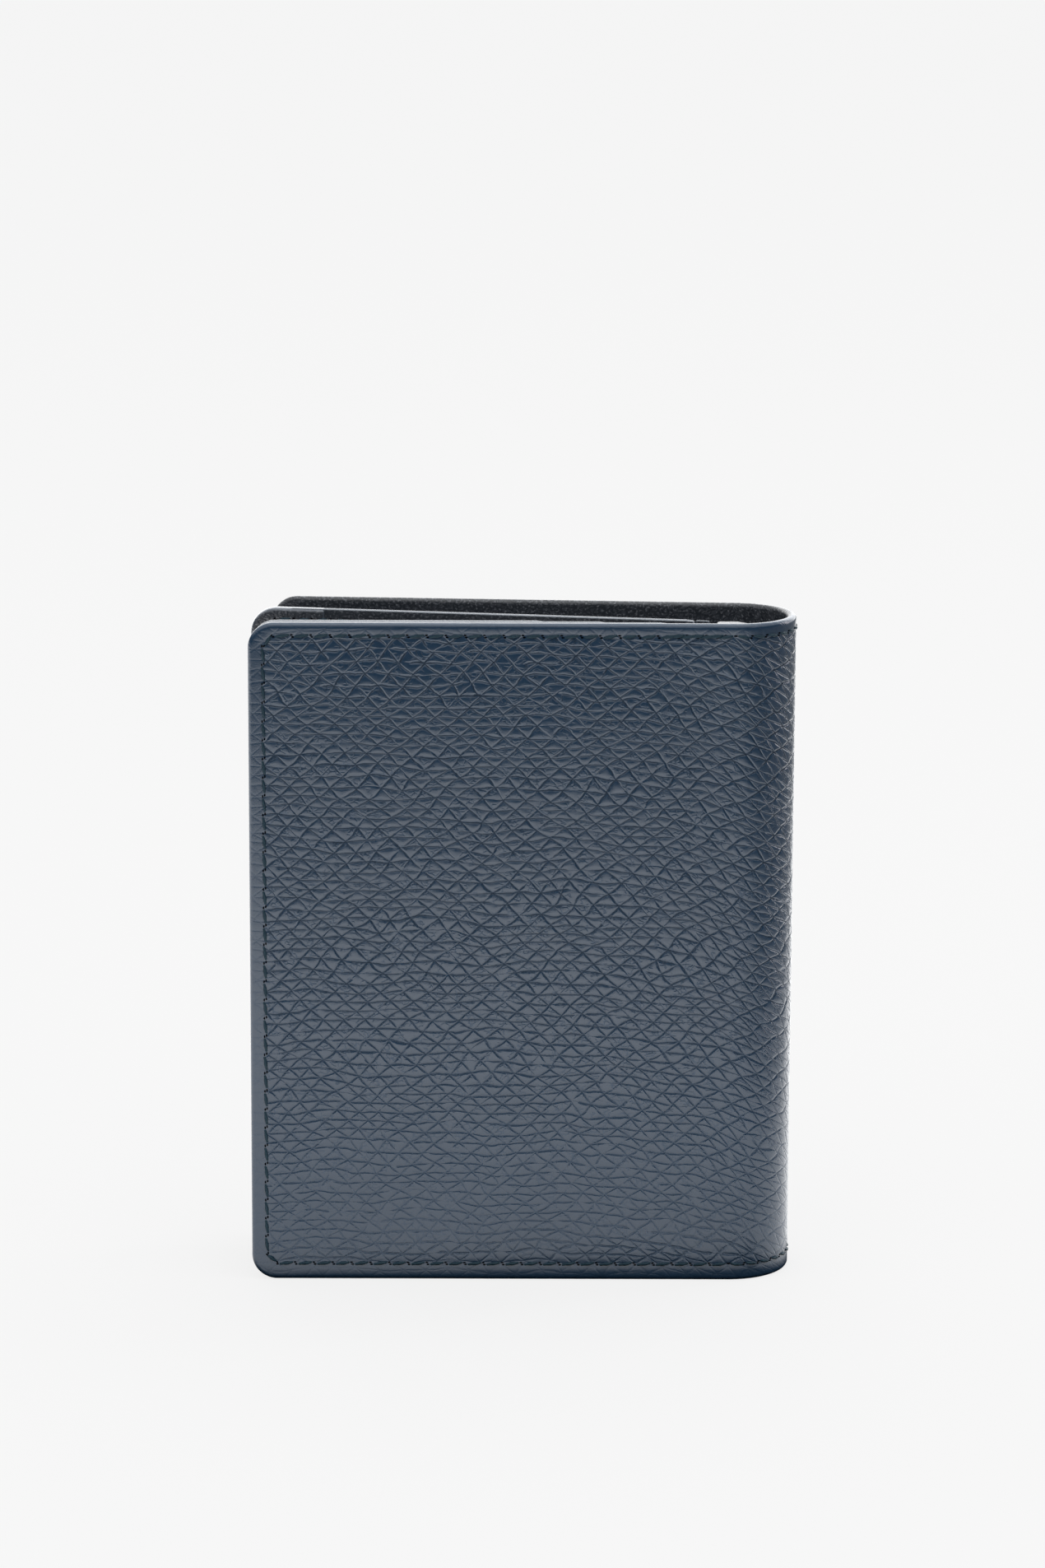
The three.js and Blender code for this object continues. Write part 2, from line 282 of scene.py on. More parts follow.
def family_distance(graph, x, y, wide_at, family):
    """Distance to the nearest crease of one family, made larger where the crease fades."""
    slope, spacing, place, fading = family
    own = graph.vector("ADD", wide_at, (place, place, 0.0))
    line = graph.line(x, -slope, y)
    line = graph.line(graph.noise(own, OWN_SIZE, 2.0), OWN_DRIFT, line)
    near = graph.math("PINGPONG", line, spacing / 2)
    near = graph.math("MULTIPLY", near, 1 / math.hypot(1, slope))
    fade = graph.ramp(graph.noise(own, FADING_SIZE, 0.0), *FADING_NOISE, fading, 0.0)
    return graph.math("ADD", near, fade)


def crease_distance(graph, at):
    """Distance in mm to the nearest crease of the grain, and to the nearest fine crease."""
    x, y = graph.split(at)[:2]
    wide_at = graph.vector("MULTIPLY", at, WIDER_THAN_TALL)
    y = graph.line(graph.noise(wide_at, SHARED_SIZE_Y, 0.5), SHARED_DRIFT, y)
    aside = graph.noise(graph.vector("ADD", wide_at, X_NOISE_PLACE), SHARED_SIZE_X, 0.5)
    x = graph.line(aside, SHARED_DRIFT, x)
    families = [family_distance(graph, x, y, wide_at, family) for family in CREASES]
    ragged = graph.math("MULTIPLY", graph.noise(at, RAGGED_SIZE, 1.0), RAGGED)
    bold = graph.math("ADD", graph.smallest(families, CREASE_ROUNDING), ragged)

    bend = graph.math("MULTIPLY", graph.noise(at, FINE_BEND_SIZE, 1.0), FINE_BEND)
    fine_at = graph.add("ShaderNodeCombineXYZ", {0: graph.math("ADD", x, bend), 1: y, 2: 3.0})
    fine_at = graph.vector("MULTIPLY", fine_at.outputs[0], FINE_WIDER)
    fine = graph.cells(fine_at, FINE_SIZE)
    fade = graph.noise(at, FINE_FADING_SIZE, 0.0)
    fade = graph.ramp(fade, *FINE_FADING_NOISE, FINE_FADING, 0.0)
    return bold, graph.math("ADD", fine, fade)


def relief_tree():
    """A geometry tree that sinks the grain's creases into a mesh."""
    tree = bpy.data.node_groups.new("grain_relief", "GeometryNodeTree")
    for way in ("INPUT", "OUTPUT"):
        tree.interface.new_socket("Geometry", in_out=way, socket_type="NodeSocketGeometry")
    graph = Graph(tree)
    read = {}
    for name, kind in (("leather", "FLOAT_VECTOR"), ("outward", "FLOAT_VECTOR"), ("pebble", "FLOAT")):
        node = graph.add("GeometryNodeInputNamedAttribute", {"Name": name}, data_type=kind)
        read[name] = node.outputs[0]
    bold, fine = crease_distance(graph, read["leather"])
    rise = graph.ramp(bold, 0.0, RELIEF_WIDTH, -RELIEF * MM, 0.0)
    rise = graph.math("ADD", rise, graph.ramp(fine, 0.0, RELIEF_WIDTH, -FINE_RELIEF * MM, 0.0))
    rise = graph.math("MULTIPLY", rise, read["pebble"])
    inputs = {0: read["outward"], "Scale": rise}
    offset = graph.add("ShaderNodeVectorMath", inputs, operation="SCALE").outputs[0]
    start = tree.nodes.new("NodeGroupInput").outputs[0]
    moved = graph.add("GeometryNodeSetPosition", {"Geometry": start, "Offset": offset})
    end = tree.nodes.new("NodeGroupOutput")
    tree.links.new(moved.outputs[0], end.inputs[0])
    return tree


# ---- materials ----------------------------------------------------------------------------------

GRAIN_FLATS = (0.016, 0.042, 0.082, 1), (0.021, 0.050, 0.094, 1)
# Painted shade: the colour that the grain's creases darken to, in place of the shade that falls in
# them.
GRAIN_CREASE_SHADE = (0.007, 0.017, 0.032, 1)
SMOOTH_FLATS = (0.036, 0.042, 0.052, 1), (0.050, 0.056, 0.068, 1)
# Painted shade: the colour that the smooth leather's fine creases darken towards.
SMOOTH_CREASE_SHADE = (0.006, 0.009, 0.014, 1)
# Painted highlights: light specks that stand in for glints on the grain.
SMOOTH_SPECK_HIGHLIGHT = (0.15, 0.16, 0.18, 1)
# A cut edge's colour: lighter as a painted highlight. The edge is also smoother, as a burnished edge
# is.
SMOOTH_BURNISH_HIGHLIGHT = (0.10, 0.12, 0.15, 1)
CLOTH_SHADES = (0.006, 0.008, 0.013, 1), (0.022, 0.028, 0.042, 1)
BOARD_SHADES = (0.20, 0.17, 0.13, 1), (0.36, 0.32, 0.26, 1)
THREAD_SHADES = (0.004, 0.018, 0.030, 1), (0.014, 0.048, 0.072, 1)
# Painted shade: near-black tones for the inside of the needle holes.
HOLE_PAINTED_SHADE = (0.0008, 0.001, 0.0015, 1), (0.003, 0.004, 0.006, 1)

# Distances from a crease's middle, and what is reached there.
CREASE_SHADE_WIDTH = 0.14
FINE_SHADE_WIDTH = 0.10
FINE_SHADE = 0.45
GROOVE_WIDTH, GROOVE_DEPTH = 0.28, 0.075
SCRATCH_WIDTH, SCRATCH_DEPTH = 0.15, 0.02
CREASE_SHADE_METALLIC = 0.7    # painted shade: dims the crease's glint, as the shade in a crease would
GRAIN_PORE_SIZE, GRAIN_PORE_HEIGHT = 0.16, 0.006

SMOOTH_CELL_SIZE, SMOOTH_CELL_DEPTH = 0.7, 0.03
SMOOTH_PORE_SIZE, SMOOTH_PORE_HEIGHT = 0.22, 0.008
RIB_WIDTH, CROSS_THREAD_WIDTH = 0.2, 0.12


def new_material(name):
    material = bpy.data.materials.new(name)
    material.use_nodes = True
    tree = material.node_tree
    tree.nodes.clear()
    graph = Graph(tree)
    shader = graph.add("ShaderNodeBsdfPrincipled")
    output = graph.add("ShaderNodeOutputMaterial", {"Surface": shader.outputs[0]})
    output.target = "ALL"
    return material, graph, shader


def attribute(graph, name, output="Vector"):
    return graph.add("ShaderNodeAttribute", attribute_name=name).outputs[output]


def finish_shader(graph, shader, colour, height, **values):
    """Links the colour and a bump, and sets or links the shader's other inputs."""
    graph.tree.links.new(colour, shader.inputs["Base Color"])
    for name, value in values.items():
        socket = shader.inputs[name.replace("_", " ")]
        if isinstance(value, bpy.types.NodeSocket):
            graph.tree.links.new(value, socket)
        else:
            socket.default_value = value
    if height is not None:
        node = graph.add("ShaderNodeBump", {"Height": height, "Strength": 1.0, "Distance": MM})
        graph.tree.links.new(node.outputs[0], shader.inputs["Normal"])


def grained_leather():
    material, graph, shader = new_material("grained_leather")
    at = attribute(graph, "leather")
    pebble = attribute(graph, "pebble", "Fac")
    bold, fine = crease_distance(graph, at)

    def by_crease(distance, width, amount):
        return graph.math("MULTIPLY", graph.ramp(distance, 0.0, width, amount, 0.0), pebble)

    # Painted shade: the colour darkens in the creases, and Metallic dims their glint, in place of the
    # shade that falls in them.
    crease = by_crease(bold, CREASE_SHADE_WIDTH, 1.0)
    dark = graph.math("MAXIMUM", crease, by_crease(fine, FINE_SHADE_WIDTH, FINE_SHADE))
    groove = by_crease(bold, GROOVE_WIDTH, -GROOVE_DEPTH)
    sunk = graph.math("ADD", groove, by_crease(fine, SCRATCH_WIDTH, -SCRATCH_DEPTH))
    pores = graph.noise(at, GRAIN_PORE_SIZE, 2.0, 0.6)
    flat = graph.colour(graph.shade(graph.noise(at, 14.0, 2.0)), *GRAIN_FLATS)
    finish_shader(
        graph, shader,
        colour=graph.colour(dark, flat, GRAIN_CREASE_SHADE),
        height=graph.line(pores, GRAIN_PORE_HEIGHT, sunk),
        Metallic=graph.math("MULTIPLY", dark, CREASE_SHADE_METALLIC),
        Roughness=graph.line(dark, 0.3, graph.line(pores, 0.04, 0.23)),
        Specular_IOR_Level=0.6,
    )
    return material


def smooth_leather():
    """Fine grained leather, with painted shade in its creases and light specks painted as highlights
    on the grain. Where an attribute marks a cut edge, it is smoother, as a burnished edge is, and
    lighter, which is a painted highlight.
    """
    material, graph, shader = new_material("smooth_leather")
    at = attribute(graph, "leather")
    burnish_and_highlight = attribute(graph, "burnish_and_highlight", "Fac")
    cells = graph.cells(graph.vector("MULTIPLY", at, FINE_WIDER), SMOOTH_CELL_SIZE)
    crease = graph.ramp(cells, 0.0, 0.2, 1.0, 0.0)
    pores = graph.noise(at, SMOOTH_PORE_SIZE, 2.0, 0.7)
    flat = graph.colour(graph.shade(graph.noise(at, 9.0, 2.0)), *SMOOTH_FLATS)
    # Painted shade in the fine creases.
    flat = graph.colour(graph.math("MULTIPLY", crease, 0.6), flat, SMOOTH_CREASE_SHADE)
    # Painted highlights: light specks in place of glints on the grain.
    specks = graph.ramp(graph.noise(at, 0.4, 1.0), 0.1, 0.4, 0.0, 0.8)
    flat = graph.colour(specks, flat, SMOOTH_SPECK_HIGHLIGHT)
    sunk = graph.math("MULTIPLY", crease, -SMOOTH_CELL_DEPTH)
    height = graph.line(pores, SMOOTH_PORE_HEIGHT, sunk)
    # Painted highlight: the cut edges turn lighter. They are also smoother and flatter, as a
    # burnished edge is.
    finish_shader(
        graph, shader,
        colour=graph.colour(burnish_and_highlight, flat, SMOOTH_BURNISH_HIGHLIGHT),
        height=graph.math("MULTIPLY", height, graph.line(burnish_and_highlight, -0.7, 1.0)),
        Roughness=graph.line(burnish_and_highlight, -0.14, graph.line(pores, 0.06, 0.32)),
    )
    return material


def lining_cloth():
    """Twill: slanting ribs, and the threads that cross them."""
    material, graph, shader = new_material("lining_cloth")
    at = attribute(graph, "leather")
    x, y = graph.split(at)[:2]
    rib = graph.math("PINGPONG", graph.math("ADD", x, y), RIB_WIDTH)
    thread = graph.math("PINGPONG", graph.math("SUBTRACT", x, y), CROSS_THREAD_WIDTH)
    thread = graph.ramp(thread, 0.0, CROSS_THREAD_WIDTH, 0.0, 0.4)
    weave = graph.math("ADD", graph.ramp(rib, 0.0, RIB_WIDTH), thread)
    shade = graph.line(graph.noise(at, 0.5, 2.0), 0.2, graph.math("MULTIPLY", weave, 0.6))
    finish_shader(
        graph, shader,
        colour=graph.colour(shade, *CLOTH_SHADES),
        height=graph.math("MULTIPLY", weave, 0.05),
        Roughness=0.85,
        Sheen_Weight=0.3,
    )
    return material


def fibre_board():
    material, graph, shader = new_material("fibre_board")
    at = graph.add("ShaderNodeTexCoord").outputs["Object"]
    stretched = graph.vector("MULTIPLY", at, (0.3, 1.0, 1.0))
    fibres = graph.noise(stretched, 0.4 * MM, 3.0, 0.7)
    colour = graph.colour(graph.shade(fibres), *BOARD_SHADES)
    height = graph.math("MULTIPLY", fibres, 0.02)
    finish_shader(graph, shader, colour, height, Roughness=0.9)
    return material


def sewing_thread():
    material, graph, shader = new_material("sewing_thread")
    fibres = graph.noise(attribute(graph, "leather"), 0.12, 2.0, 0.7)
    colour = graph.colour(graph.shade(fibres), *THREAD_SHADES)
    height = graph.math("MULTIPLY", fibres, 0.015)
    finish_shader(graph, shader, colour, height, Roughness=0.5, Specular_IOR_Level=0.25)
    return material


def needle_hole_shadow():
    material, graph, shader = new_material("needle_hole_shadow")
    specks = graph.noise(attribute(graph, "leather"), 0.1, 1.0)
    # Painted shade: near-black, matt and without gloss, in place of the shade inside a needle hole.
    colour = graph.colour(graph.shade(specks), *HOLE_PAINTED_SHADE)
    finish_shader(graph, shader, colour, None, Roughness=1.0, Specular_IOR_Level=0.0)
    return material


GRAINED = grained_leather()
SMOOTH = smooth_leather()
CLOTH = lining_cloth()
BOARD = fibre_board()
THREAD = sewing_thread()
HOLE_SHADOW = needle_hole_shadow()


# ---- meshes -------------------------------------------------------------------------------------

SHARP_ANGLE = math.radians(52)


def make_mesh(name, points, faces, flat, material, extra=(), second=None, marks=None):
    """A closed mesh. flat holds each point's place on the flat leather, which patterns follow.

    extra holds more values for each point. Faces that marks picks out get the second material.
    """
    mesh = bpy.data.meshes.new(name)
    mesh.from_pydata((points * MM).tolist(), [], faces)
    for key, values in [("leather", flat), *dict(extra).items()]:
        kind, field = ("FLOAT_VECTOR", "vector") if values.ndim == 2 else ("FLOAT", "value")
        data = mesh.attributes.new(key, kind, "POINT").data
        data.foreach_set(field, values.astype(np.float32).ravel())
    work = bmesh.new()
    work.from_mesh(mesh)
    bmesh.ops.recalc_face_normals(work, faces=work.faces)
    work.to_mesh(mesh)
    work.free()
    mesh.shade_smooth()
    mesh.set_sharp_from_angle(angle=SHARP_ANGLE)
    obj = bpy.data.objects.new(name, mesh)
    bpy.context.scene.collection.objects.link(obj)
    mesh.materials.append(material)
    if second:
        mesh.materials.append(second)
        mesh.polygons.foreach_set("material_index", np.array(marks, np.int32))
    return obj


def numbered(shape, start=0):
    """Point numbers from start, in an array of this shape."""
    return np.arange(math.prod(shape)).reshape(shape) + start


def grid_faces(index):
    """Quads between the neighbours of a two-way array of point numbers."""
    corners = [index[:-1, :-1], index[1:, :-1], index[1:, 1:], index[:-1, 1:]]
    return np.stack(corners, -1).reshape(-1, 4).tolist()


def tube_faces(index):
    """Faces of a tube whose rings are the rows of index, and the two that close its ends."""
    looped = np.concatenate([index, index[:, :1]], axis=1)
    return grid_faces(looped) + [index[0].tolist(), index[-1].tolist()]


def edge_steps(width, count=6):
    """Distances from an edge that follow a quarter-round of the given width."""
    return width * (1 - np.sin(np.linspace(math.pi / 2, 0, count + 1)))


def steps_between(low, high, step):
    return np.linspace(low, high, max(2, round((high - low) / step) + 1))


def both_edges(low, high, width, step):
    """Steps between two rounded edges, with finer steps on the edges."""
    rim = edge_steps(width)
    middle = steps_between(low + width, high - width, step)[1:-1]
    return np.concatenate([low + rim, middle, high - rim[::-1]])


def round_corner(a, b, radius):
    """Distances from two edges, moved so that the square corner becomes round."""
    ca, cb = np.maximum(radius - a, 0), np.maximum(radius - b, 0)
    both = (ca > 0) & (cb > 0)
    scale = np.where(both, np.maximum(ca, cb) / np.maximum(np.hypot(ca, cb), 1e-9), 1)
    return np.where(both, radius - ca * scale, a), np.where(both, radius - cb * scale, b)


def rim_drop(edge, width, height):
    """How far a rounded edge falls below the face, at a distance from the edge."""
    inside = np.clip((width - edge) / width, 0, 1)
    return height * (1 - np.sqrt(1 - inside ** 2))


def smoothstep(value, low, high):
    t = np.clip((value - low) / (high - low), 0, 1)
    return t * t * (3 - 2 * t)


def swell(distance, length):
    """0 at an edge, rising in an even curve to 1 at the given length from it."""
    return 1 - (1 - np.clip(distance / length, 0, 1)) ** 2


def noise_at(flat, size, seed):
    """Smooth noise for an array of flat places."""
    places = flat.reshape(-1, flat.shape[-1]) / size
    values = [noise.noise(Vector((x, y, seed))) for x, y in places]
    return np.array(values).reshape(flat.shape[:-1])


# ---- outer leather ------------------------------------------------------------------------------

PILLOW = 1.1             # height of the covers' padding, and how far it takes to rise
PILLOW_TOP = 22
PILLOW_BOTTOM = 60
PILLOW_SIDE = 26
PILLOW_SPINE = 30
SAG = 0.22               # small hollows in the padding
SAG_SIZE = 30.0
SAG_SEED = 5.0
SPINE_SHIFT = 0.5        # how steeply the grain climbs where the leather turns round the spine
SHIFT_REACH = 8
SHIFT_SPREAD = 4
LEAST_PEBBLE = 0.12      # the grain's relief outside the seam
LOW_PEBBLE = 0.4         # and at the bottom of the cover
LOW_PEBBLE_HEIGHT = 60
HEM_STEP = 0.45
HEM_END = 0.5            # how much of the hem thins out at its end
HEM_FOLD_ZONE = 3
NO_FREE_EDGE = 100.0     # w on the spine, far from any free edge
BEND_DEPTH = 2.2         # of the line between the two ends of a spine piece


def seam_inside(w, z):
    """Distance inwards from the stitch line."""
    low, high, side = np.broadcast_arrays(z - SEAM_BOTTOM, HEIGHT - SEAM_TOP - z, w - SEAM_SIDE)
    diagonals = [(side + end - SEAM_CORNER) / math.sqrt(2) for end in (low, high)]
    return np.minimum.reduce([low, high, side, *diagonals])


def flat_place(u, z):
    """Where the grain is read for a place on the leather."""
    half = SPINE_END / 2
    turn = np.tanh((half - u) / (half + SHIFT_SPREAD))
    return np.stack([u, z + SPINE_SHIFT * (half + SHIFT_REACH) * turn, 0 * u], -1)


def pebble_amount(w, z):
    """How strong the grain's relief is: weak outside the seam and low on the cover."""
    inside = smoothstep(seam_inside(w, z), -0.3, 0.9)
    low = LOW_PEBBLE + (1 - LOW_PEBBLE) * smoothstep(z, 0, LOW_PEBBLE_HEIGHT)
    return LEAST_PEBBLE + (1 - LEAST_PEBBLE) * inside * low


def pillow(w, z, reach):
    """How much the padded cover bulges, between its seams and the spine."""
    ends = swell(HEIGHT - SEAM_TOP - z, PILLOW_TOP) * swell(z - SEAM_BOTTOM, PILLOW_BOTTOM)
    sides = swell(w - SEAM_SIDE, PILLOW_SIDE) * smoothstep(reach - w, 0, PILLOW_SPINE)
    return PILLOW * ends * sides


def surface(w, z, edge):
    """Depth of the outer face: the rim, and the pinch along the seam."""
    pinch = PINCH * np.exp(-(seam_inside(w, z) / PINCH_WIDTH) ** 2)
    return rim_drop(edge, RIM, RIM) + pinch


def hem_depth(edge):
    """Depth of the hem's face, which thins out at its end."""
    thick = 2 * RIM - rim_drop(edge, RIM, RIM)
    return thick - (2 * RIM - LEATHER) * smoothstep(edge, HEM_WIDTH - 0.6, HEM_WIDTH)


def directions(edge, over, out, side):
    """The surface's direction on the rim, the outer face (side 1) or the hem (side -1)."""
    lean = np.clip((RIM - edge) / RIM, 0, 1)[..., None]
    return side * out * np.sqrt(1 - lean ** 2) + over * lean


def rounded(w, z):
    """Places on a square cover, moved so that its two free corners become round."""
    w, low = round_corner(w, z, CORNER)
    w, high = round_corner(w, HEIGHT - z, CORNER)
    return w, np.where(z < HEIGHT / 2, low, HEIGHT - high)


def edge_way(w, z, away):
    """Direction out over the nearest edge."""
    side = np.maximum(CORNER - w, 0)
    below, above = np.maximum(CORNER - z, 0), np.maximum(CORNER - HEIGHT + z, 0)
    end = np.where(z < HEIGHT / 2, -below, above)
    size = np.maximum(np.hypot(side, end), 1e-9)[..., None]
    return (side[..., None] * away + end[..., None] * UP) / size


RELIEF_TREE = relief_tree()
RIM_STEPS = edge_steps(RIM)
HEM_MIDDLE = np.arange(RIM, HEM_WIDTH - HEM_END, HEM_STEP)[1:]
HEM_STEPS = np.concatenate([RIM_STEPS, HEM_MIDDLE, [HEM_WIDTH - HEM_END, HEM_WIDTH]])
Z_LINES = both_edges(0, HEIGHT, RIM, GRAIN_STEP)


def emboss(obj):
    """Applies the grain's relief to the mesh."""
    obj.modifiers.new("grain", "NODES").node_group = RELIEF_TREE
    done = obj.evaluated_get(bpy.context.evaluated_depsgraph_get())
    mesh = bpy.data.meshes.new_from_object(done)
    obj.modifiers.clear()
    obj.data = mesh
    mesh.attributes.remove(mesh.attributes["outward"])


def cover_face(cover, w_lines):
    """Points, flat places, directions and relief of the outer face, in a grid."""
    w, z = np.meshgrid(w_lines, Z_LINES, indexing="ij")
    edge = np.minimum(w, np.minimum(z, HEIGHT - z))
    w, z = rounded(w, z)
    sag = SAG * noise_at(np.stack([w, z], -1), SAG_SIZE, SAG_SEED + cover.free_u)
    sag = sag * smoothstep(edge, 2, 12) * smoothstep(cover.reach - w, 0, 10)
    depth = surface(w, z, edge) + sag - pillow(w, z, cover.reach)
    ways = directions(edge, edge_way(w, z, cover.away), cover.out, 1)
    return cover.place(w, depth, z), flat_place(cover.u_of(w), z), ways, pebble_amount(w, z)


def cover_hem(cover, w_lines):
    """The same of the hem, in rows that start at the outer face's border and go inwards.

    Each row runs along three sides: from the spine along the bottom, up the free edge, and back.
    """
    start_w = np.concatenate([w_lines[:0:-1], 0 * Z_LINES, w_lines[1:]])
    start_z = np.concatenate([0 * w_lines[:0:-1], Z_LINES, 0 * w_lines[1:] + HEIGHT])
    edge = HEM_STEPS[1:, None]
    w = edge + start_w * (cover.reach - edge) / cover.reach
    w, z = rounded(w, edge + start_z * (HEIGHT - 2 * edge) / HEIGHT)
    folded = 2 * edge * (1 - smoothstep(start_w, 0, HEM_FOLD_ZONE))
    flat = flat_place(cover.u_of(w - folded), np.where(start_z < 1, -z, z))
    points = cover.place(w, hem_depth(edge), z)
    ways = directions(edge + 0 * w, edge_way(w, z, cover.away), cover.out, -1)
    return points, flat, ways, 0 * w


def cover_faces(face_shape, hem_shape):
    """All faces of a cover's leather, and which of them are in the hem."""
    index = numbered(face_shape)
    border = np.concatenate([index[:0:-1, 0], index[0, :], index[1:, -1]])
    hem = np.concatenate([border[None, :], numbered(hem_shape, index.size)])
    outer = grid_faces(index)
    faces = outer + grid_faces(hem[:, ::-1])
    faces.append(hem[-1].tolist())
    faces.append(index[-1].tolist() + hem[1:, -1].tolist() + hem[:0:-1, 0].tolist())
    return faces, np.arange(len(faces)) >= len(outer)


def joined(a, b):
    """Two grids of values as one list."""
    return np.concatenate([a.reshape(-1, *a.shape[2:]), b.reshape(-1, *b.shape[2:])])


def cover_leather(cover):
    """A cover's leather from its free edge to where the spine begins, with its hem turned in."""
    w_lines = np.concatenate([RIM_STEPS, steps_between(RIM, cover.reach, GRAIN_STEP)[1:]])
    face, hem = cover_face(cover, w_lines), cover_hem(cover, w_lines)
    faces, in_hem = cover_faces(face[3].shape, hem[3].shape)
    points, flat, outward, pebble = [joined(a, b) for a, b in zip(face, hem)]
    extra = {"pebble": pebble, "outward": outward}
    name = f"{cover.side}_leather_sheet"
    obj = make_mesh(name, points, faces, flat, GRAINED, extra, SMOOTH, in_hem)
    emboss(obj)
    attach(obj, f"{cover.side}_cover")
    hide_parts(f"{cover.side}_leather")


def spine_ends(part):
    """u at both ends of a quarter of the spine."""
    return part * SPINE_END / FOLD_COUNT, (part + 1) * SPINE_END / FOLD_COUNT


def bend_piece(obj, part):
    """Bakes the piece's placement into its mesh. The places of both ends of this quarter of the spine
    are worked out, but nothing uses them.
    """
    start, end = [bent(u, BEND_DEPTH, HEIGHT / 2) * MM for u in spine_ends(part)]
    tuple(start)
    tuple(end)
    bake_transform(obj)


def gathers(u, z):
    """Upright wrinkles in the leather inside the spine."""
    sway = 0.6 * np.sin(z * 0.5 + u * 0.35)
    broad = np.sin(u * 1.9 + sway) * 0.14
    fine = np.sin(u * 4.3 - sway * 2 + np.sin(u * 0.7) * 3) * 0.08
    return broad + fine


def spine_leather(part):
    """A quarter of the leather round the spine, with its hems at the top and bottom."""
    # Each ring goes up the outer face, down the top hem, and down the bottom hem to its start.
    hem = HEM_STEPS[1:]
    rim = np.minimum(Z_LINES, HEIGHT - Z_LINES)
    z = np.concatenate([Z_LINES, HEIGHT - hem, hem[::-1]])
    edge = np.concatenate([rim, hem, hem[::-1]])
    face = surface(NO_FREE_EDGE, Z_LINES, rim)
    depth = np.concatenate([face, hem_depth(hem), hem_depth(hem[::-1])])
    flat_z = np.concatenate([Z_LINES, HEIGHT + hem, -hem[::-1]])
    side = np.concatenate([0 * Z_LINES + 1, 0 * hem - 1, 0 * hem - 1])

    u, z_grid = np.meshgrid(steps_between(*spine_ends(part), GRAIN_STEP), z, indexing="ij")
    wrinkles = gathers(u, z_grid) * (side < 0) * smoothstep(edge, 0.3, 2.5)
    points = bent(u, depth + wrinkles, z_grid)
    out = bent(u, 0 * u, z_grid) - bent(u, 0 * u + 1, z_grid)
    over = np.where(z < HEIGHT / 2, -1.0, 1.0)[:, None] * UP
    ways = directions(edge, over, out, side[:, None])
    pebble = np.where(side > 0, pebble_amount(NO_FREE_EDGE, z), 0.0) + 0 * u
    flat = flat_place(u, flat_z + 0 * u)

    extra = {"pebble": pebble.ravel(), "outward": ways.reshape(-1, 3)}
    ring_marks = np.concatenate([side[:-1] + side[1:] < 1, [True]])
    marks = np.concatenate([np.tile(ring_marks, len(u) - 1), [True, True]])
    faces, name = tube_faces(numbered(u.shape)), f"spine_leather_{part + 1}"
    lists = points.reshape(-1, 3), faces, flat.reshape(-1, 3)
    obj = make_mesh(name, *lists, GRAINED, extra, SMOOTH, marks)
    emboss(obj)
    bend_piece(obj, part)
    return obj


LINING_MARGIN = 6.2
LINING_DEPTH = LEATHER + 0.1
LINING_THICKNESS = 0.55
LINING_WRINKLES = 0.7


def spine_lining(part):
    """A quarter of the lining inside the spine."""
    low, high, half = LINING_MARGIN, HEIGHT - LINING_MARGIN, LINING_THICKNESS / 2
    z = both_edges(low, high, half, 1.0)
    drop = rim_drop(np.minimum(z - low, high - z), half, half)
    inner_depth = LINING_DEPTH + LINING_THICKNESS - drop
    depth = np.concatenate([LINING_DEPTH + drop, inner_depth[-2:0:-1]])
    inner = np.concatenate([0 * z, 1 + 0 * z[-2:0:-1]])
    z = np.concatenate([z, z[-2:0:-1]])
    u, z_grid = np.meshgrid(steps_between(*spine_ends(part), 0.5), z, indexing="ij")
    wrinkles = gathers(u, z_grid) * LINING_WRINKLES * inner
    points = bent(u, depth + wrinkles, z_grid).reshape(-1, 3)
    flat = np.stack([u, z_grid, inner + 0 * u], -1).reshape(-1, 3)
    obj = make_mesh(f"spine_inner_{part + 1}", points, tube_faces(numbered(u.shape)), flat, SMOOTH)
    bend_piece(obj, part)
    return obj


# ---- stitches -----------------------------------------------------------------------------------

STITCH_RADIUS = 0.25
STITCH_RINGS = 15
STITCH_SIDES = 12
STITCH_FLATNESS = 0.85
STITCH_START = 0.06      # part of the pitch that is free before a stitch
STITCH_RUN = 0.88        # and the part that it covers
STITCH_SLANT = 0.17
STITCH_UNEVEN = 0.05
STITCH_SUNK = 0.40       # depth of a stitch's ends, and how far its middle rises from there
STITCH_ARCH = 0.5
THREAD_PLIES = 2
THREAD_GROOVE = 0.16
THREAD_TWIST = 13
THREAD_PATTERN = 3       # the thread's fibres are this much finer than on flat leather
HOLE_SIDES = 10
HOLE_INSET = 0.1
HOLE_HALF_LENGTH = 0.24
HOLE_HALF_WIDTH = 0.13
HOLE_PROUD = 0.05        # keeps the cone's painted shade in sight, just above the leather
HOLE_DEPTH = 0.3
LOCKED = (64, 74)        # where the thread was locked with a second row
LOCKED_SHIFT = np.array([PITCH / 2, 0.12])
INNER_LIFT = -0.18       # how far the inner seams lie above (or here, below) the outer ones' height
NARROW_LIFT = -0.26      # where a pocket comes close as the holder shuts

HOLE_RING = np.arange(HOLE_SIDES) * 2 * math.pi / HOLE_SIDES
STITCH_T, STITCH_ANGLE = np.meshgrid(
    np.linspace(0, 1, STITCH_RINGS),
    np.arange(STITCH_SIDES) * 2 * math.pi / STITCH_SIDES,
    indexing="ij",
)


